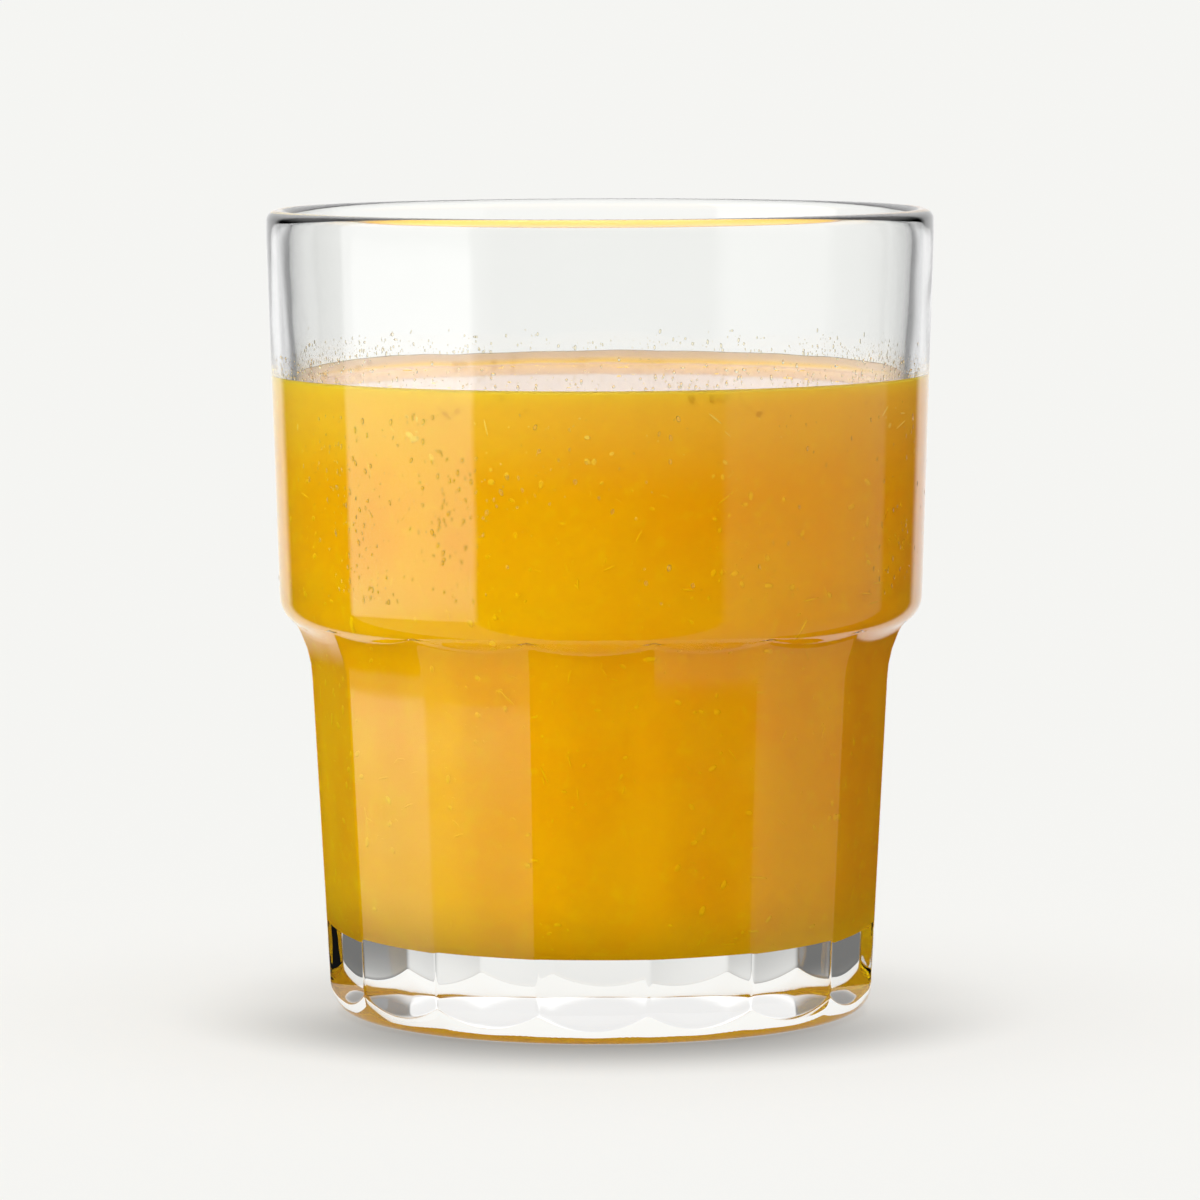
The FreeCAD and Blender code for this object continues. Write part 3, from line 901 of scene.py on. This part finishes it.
# %% Pulp at the wall
# The pulp too turns paler towards the top, painted light from above.
pulp_finish = juice_finish("pale_pulp", 0.0, 1.0, near=TOP_LIT_PULP, top=0.9, lighten=1.0,
                           cloud_depth=0.0)
wall_seat = [(r, z) for r, z in juice_outline() if 11.0 < z < 80.5 and r > 26]
flecks = strewn_mesh("flecks", seat_mesh(wall_seat, lambda a, r, z: patchy(a, z, 12, 0.45, 3)),
                     pulp_finish, seed=11, per_mm2=0.16, smallest=0.08, largest=0.45, length=1.5,
                     thickness=0.22)
fibres = strewn_mesh("fibres", seat_mesh(wall_seat, lambda a, r, z: patchy(a, z, 9, 0.3, 8)),
                     pulp_finish, seed=12, per_mm2=0.05, smallest=0.06, largest=0.16, length=8.0,
                     thickness=0.6)
one_piece("pulp_at_wall", [flecks, fibres], pulp_finish)

# %% [markdown]
# ## Bits and bubbles on the drink
#
# The open top carries a few wet bits of pulp, and small bubbles gather where the
# juice meets the wall, some of them in clusters.

# %% Bits on the top and bubbles round the edge
bit_finish = juice_finish("wet_bits", OPEN_SHINE, OPEN_ROUGH, near=WET_BITS, top=1.0,
                          cloud_depth=0.0)
top_seat = [(r, LEVEL) for r in (36.5, 34, 31, 27, 22, 16, 10, 4)]
bits = strewn_mesh("bits", seat_mesh(top_seat, lambda a, r, z: patchy(a, r, 10, 0.35, 5) * (r / 36)),
                   bit_finish, seed=21, per_mm2=0.11, smallest=0.08, largest=0.34, length=2.2, thickness=0.4)
one_piece("bits_on_top", [bits], bit_finish)


def wet_finish(name, colour, ior):
    """Clear drops and bubbles, very slightly tinted and never perfectly smooth."""
    made = bpy.data.materials.new(name)
    made.use_nodes = True
    nodes = made.node_tree
    shader = nodes.nodes["Principled BSDF"]
    shader.inputs["Base Color"].default_value = colour
    shader.inputs["Roughness"].default_value = 0.02
    shader.inputs["IOR"].default_value = ior
    shader.inputs["Transmission Weight"].default_value = 1.0
    where = add_node(nodes, "ShaderNodeTexCoord")
    uneven = add_node(nodes, "ShaderNodeTexNoise", Vector=where.outputs["Object"], Scale=900.0)
    bump = add_node(nodes, "ShaderNodeBump", Height=uneven.outputs[0], Strength=0.1, Distance=0.0002)
    nodes.links.new(bump.outputs[0], shader.inputs["Normal"])
    return made


bubble_finish = wet_finish("juice_bubble", (1.0, 0.97, 0.88, 1), 1.33)
edge_seat = [(39.2, 82.3), (38.9, 81.95), (38.4, 81.5), (37.8, 81.2)]
ring = strewn_mesh("ring", seat_mesh(edge_seat, lambda a, r, z: patchy(a, z, 5, 0.1, 2), 720),
                   bubble_finish, seed=31, per_mm2=1.0, smallest=0.14, largest=0.50, thickness=0.9)
under_edge = [(39.35, 79.2), (39.42, 80.2), (39.45, 81.0), (39.5, 81.8)]
stuck = strewn_mesh("stuck", seat_mesh(under_edge, lambda a, r, z: patchy(a, z, 6, 0.0, 6), 720),
                    bubble_finish, seed=32, per_mm2=0.40, smallest=0.14, largest=0.45, thickness=0.9)
one_piece("bubbles", [ring, stuck], bubble_finish)

# %% [markdown]
# ## Wet band above the drink
#
# The glass was filled and moved, so a band of fine drops clings to the inside wall
# just above the level. They have run down a little, so they are taller than wide.

# %% Drops inside, above the level
ON_WALL, BAND_TALL = 0.02, 4.6
DROP_SPIN = 12
drop_finish = wet_finish("juice_drop", (1.0, 0.95, 0.78, 1), 1.36)


def band_amount(angle, z):
    """Thick just above the drink and thin higher up, most at the two sides."""
    sides = 0.25 + 0.75 * abs(cos(radians(angle))) ** 3
    fade = max(0.0, 1 - (z - CONTACT) / BAND_TALL) ** 2
    return sides * fade * (0.5 + patchy(angle, z, 4, 0.3, 4))


band_seat = [(inner_wall(z) + ON_WALL, z) for z in (88.2, 87, 86, 85, 84, 83.2, 82.7)]
band = strewn_mesh("band", seat_mesh(band_seat, lambda a, r, z: band_amount(a, z), 360),
                   drop_finish, seed=41, per_mm2=7.0, smallest=0.05, largest=0.20, length=1.6,
                   thickness=0.45, spin=DROP_SPIN)
line_seat = [(inner_wall(z) + ON_WALL, z) for z in (85.6, 85.0, 84.5)]
beads = strewn_mesh("beads", seat_mesh(line_seat, lambda a, r, z: patchy(a, z, 3, 0.05, 9), 360),
                    drop_finish, seed=42, per_mm2=1.2, smallest=0.10, largest=0.36, length=0.7,
                    thickness=0.5, spin=DROP_SPIN)
one_piece("drops_above_drink", [band, beads], drop_finish)

# %% [markdown]
# ## Condensation
#
# The drink is cold, so fine dew gathers on the outside, in patches where the glass
# was not touched. Most drops are far under a millimetre, and a few have grown.

# %% Dew on the outside
DEW_MIDDLE, DEW_SPREAD, DEW_SUNK = 235, 34, 0.01
dew_finish = wet_finish("dew", (1.0, 1.0, 1.0, 1), 1.4)


def upper_outside(z):
    """Radius of the outside between the shoulder and the rim's band."""
    return RIM_RADIUS - (RIM_BAND_FOOT - z) * tan(WALL_LEAN)


def dew_amount(angle, z):
    """Dew in patches, thickest left of the front and thin elsewhere."""
    off = (angle - DEW_MIDDLE + 180) % 360 - 180
    near = 0.18 + 0.82 * max(0.0, 1 - (off / DEW_SPREAD) ** 2)
    return near * patchy(angle, z, 11, 0.18, 7)


upper_seat = [(upper_outside(z) - DEW_SUNK, z) for z in (80, 76, 72, 68, 64, 60, 57, 55.5)]
dew_high = strewn_mesh("dew_high", seat_mesh(upper_seat, lambda a, r, z: dew_amount(a, z)),
                       dew_finish, seed=51, per_mm2=2.4, smallest=0.05, largest=0.26, length=1.5,
                       thickness=0.25, spin=25)
one_piece("dew", [dew_high], dew_finish)

# %% Finish
low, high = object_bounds()
print("finished box", [round(c / MM, 2) for c in (high - low)])
